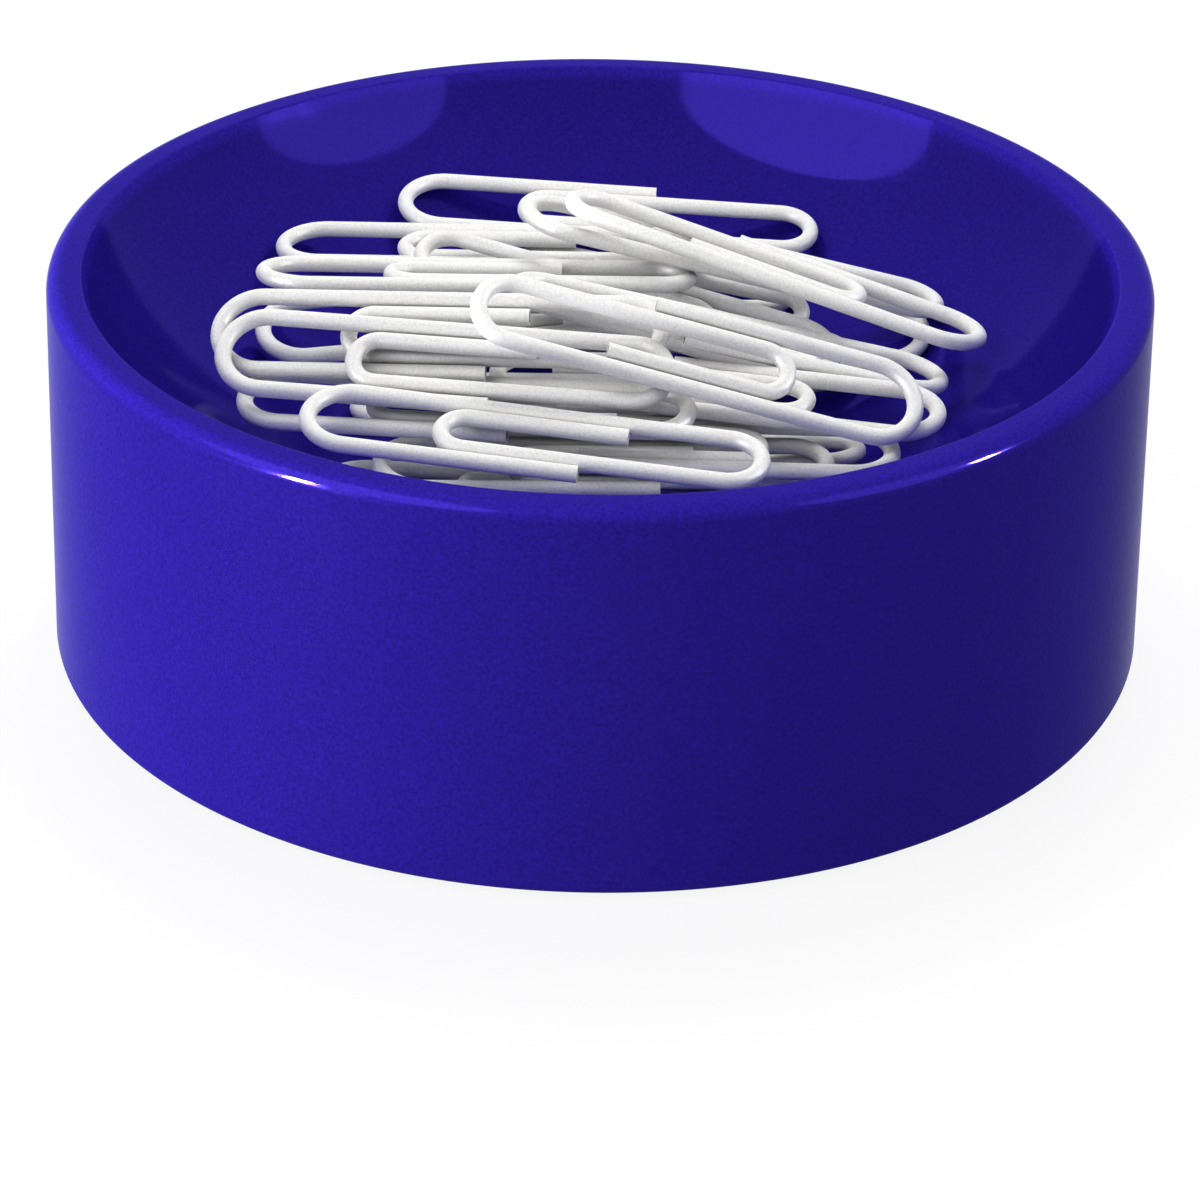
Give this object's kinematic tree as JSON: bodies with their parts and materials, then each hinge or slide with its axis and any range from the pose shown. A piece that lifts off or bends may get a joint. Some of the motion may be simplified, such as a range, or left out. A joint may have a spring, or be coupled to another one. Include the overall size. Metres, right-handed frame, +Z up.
{
  "type": "magnetic paper clip holder",
  "caption": "Round desk dish with a smooth concave bowl over a hidden magnet, a screwed base cover on rubber feet, and a heap of vinyl-coated gem paper clips in the bowl.",
  "frame": {"origin": "on the surface that the holder stands on, under the dish's axis", "axes": "+Z up along the dish's axis, -Y towards the viewer of the picture, +X to that viewer's right"},
  "size_m": [0.081, 0.081, 0.0328],
  "materials": {
    "dish_gloss_abs": "moulded gloss",
    "cover_matt_abs": "fine moulded grain",
    "magnet_ferrite": "ground, sintered",
    "pad_foam": "closed-cell foam",
    "screw_steel": "zinc plated",
    "foot_rubber": "matt, die cut",
    "clip_vinyl": "smooth vinyl coat",
    "clip_steel": "drawn and cut wire"
  },
  "bodies": {
    "holder": {"dish_shell": "dish_gloss_abs", "base_cover": "cover_matt_abs", "magnet": "magnet_ferrite", "foam_pad": "pad_foam", "base_screws": "screw_steel", "rubber_foot_front": "foot_rubber", "rubber_foot_right": "foot_rubber", "rubber_foot_left": "foot_rubber"},
    "clip_01": {"clip_01_coating": "clip_vinyl", "clip_01_core": "clip_steel"},
    "clip_02": {"clip_02_coating": "clip_vinyl", "clip_02_core": "clip_steel"},
    "clip_03": {"clip_03_coating": "clip_vinyl", "clip_03_core": "clip_steel"},
    "clip_04": {"clip_04_coating": "clip_vinyl", "clip_04_core": "clip_steel"},
    "clip_05": {"clip_05_coating": "clip_vinyl", "clip_05_core": "clip_steel"},
    "clip_06": {"clip_06_coating": "clip_vinyl", "clip_06_core": "clip_steel"},
    "clip_07": {"clip_07_coating": "clip_vinyl", "clip_07_core": "clip_steel"},
    "clip_08": {"clip_08_coating": "clip_vinyl", "clip_08_core": "clip_steel"},
    "clip_09": {"clip_09_coating": "clip_vinyl", "clip_09_core": "clip_steel"},
    "clip_10": {"clip_10_coating": "clip_vinyl", "clip_10_core": "clip_steel"},
    "clip_11": {"clip_11_coating": "clip_vinyl", "clip_11_core": "clip_steel"},
    "clip_12": {"clip_12_coating": "clip_vinyl", "clip_12_core": "clip_steel"},
    "clip_13": {"clip_13_coating": "clip_vinyl", "clip_13_core": "clip_steel"},
    "clip_14": {"clip_14_coating": "clip_vinyl", "clip_14_core": "clip_steel"},
    "clip_15": {"clip_15_coating": "clip_vinyl", "clip_15_core": "clip_steel"},
    "clip_16": {"clip_16_coating": "clip_vinyl", "clip_16_core": "clip_steel"},
    "clip_17": {"clip_17_coating": "clip_vinyl", "clip_17_core": "clip_steel"},
    "clip_18": {"clip_18_coating": "clip_vinyl", "clip_18_core": "clip_steel"},
    "clip_19": {"clip_19_coating": "clip_vinyl", "clip_19_core": "clip_steel"},
    "clip_20": {"clip_20_coating": "clip_vinyl", "clip_20_core": "clip_steel"},
    "clip_21": {"clip_21_coating": "clip_vinyl", "clip_21_core": "clip_steel"},
    "clip_22": {"clip_22_coating": "clip_vinyl", "clip_22_core": "clip_steel"}
  },
  "joints": [
    {"name": "clip_01_lift", "type": "slide", "parent": "holder", "child": "clip_01", "axis": [0, 0, 1], "range_m": [0, 0.008]},
    {"name": "clip_02_lift", "type": "slide", "parent": "clip_01", "child": "clip_02", "axis": [0, 0, 1], "range_m": [0, 0.008]},
    {"name": "clip_03_lift", "type": "slide", "parent": "clip_09", "child": "clip_03", "axis": [0, 0, 1], "range_m": [0, 0.008]},
    {"name": "clip_04_lift", "type": "slide", "parent": "clip_03", "child": "clip_04", "axis": [0, 0, 1], "range_m": [0, 0.008]},
    {"name": "clip_05_lift", "type": "slide", "parent": "clip_04", "child": "clip_05", "axis": [0, 0, 1], "range_m": [0, 0.008]},
    {"name": "clip_06_lift", "type": "slide", "parent": "clip_02", "child": "clip_06", "axis": [0, 0, 1], "range_m": [0, 0.008]},
    {"name": "clip_07_lift", "type": "slide", "parent": "clip_05", "child": "clip_07", "axis": [0, 0, 1], "range_m": [0, 0.008]},
    {"name": "clip_08_lift", "type": "slide", "parent": "clip_06", "child": "clip_08", "axis": [0, 0, 1], "range_m": [0, 0.008]},
    {"name": "clip_09_lift", "type": "slide", "parent": "clip_08", "child": "clip_09", "axis": [0, 0, 1], "range_m": [0, 0.008]},
    {"name": "clip_10_lift", "type": "slide", "parent": "clip_09", "child": "clip_10", "axis": [0, 0, 1], "range_m": [0, 0.008]},
    {"name": "clip_11_lift", "type": "slide", "parent": "clip_07", "child": "clip_11", "axis": [0, 0, 1], "range_m": [0, 0.008]},
    {"name": "clip_12_lift", "type": "slide", "parent": "clip_05", "child": "clip_12", "axis": [0, 0, 1], "range_m": [0, 0.03]},
    {"name": "clip_13_lift", "type": "slide", "parent": "clip_11", "child": "clip_13", "axis": [0, 0, 1], "range_m": [0, 0.008]},
    {"name": "clip_14_lift", "type": "slide", "parent": "clip_13", "child": "clip_14", "axis": [0, 0, 1], "range_m": [0, 0.008]},
    {"name": "clip_15_lift", "type": "slide", "parent": "clip_14", "child": "clip_15", "axis": [0, 0, 1], "range_m": [0, 0.008]},
    {"name": "clip_16_lift", "type": "slide", "parent": "clip_10", "child": "clip_16", "axis": [0, 0, 1], "range_m": [0, 0.008]},
    {"name": "clip_17_lift", "type": "slide", "parent": "clip_15", "child": "clip_17", "axis": [0, 0, 1], "range_m": [0, 0.008]},
    {"name": "clip_18_lift", "type": "slide", "parent": "clip_17", "child": "clip_18", "axis": [0, 0, 1], "range_m": [0, 0.008]},
    {"name": "clip_19_lift", "type": "slide", "parent": "clip_16", "child": "clip_19", "axis": [0, 0, 1], "range_m": [0, 0.008]},
    {"name": "clip_20_lift", "type": "slide", "parent": "clip_19", "child": "clip_20", "axis": [0, 0, 1], "range_m": [0, 0.008]},
    {"name": "clip_21_lift", "type": "slide", "parent": "clip_18", "child": "clip_21", "axis": [0, 0, 1], "range_m": [0, 0.03]},
    {"name": "clip_22_lift", "type": "slide", "parent": "clip_20", "child": "clip_22", "axis": [0, 0, 1], "range_m": [0, 0.03]}
  ]
}
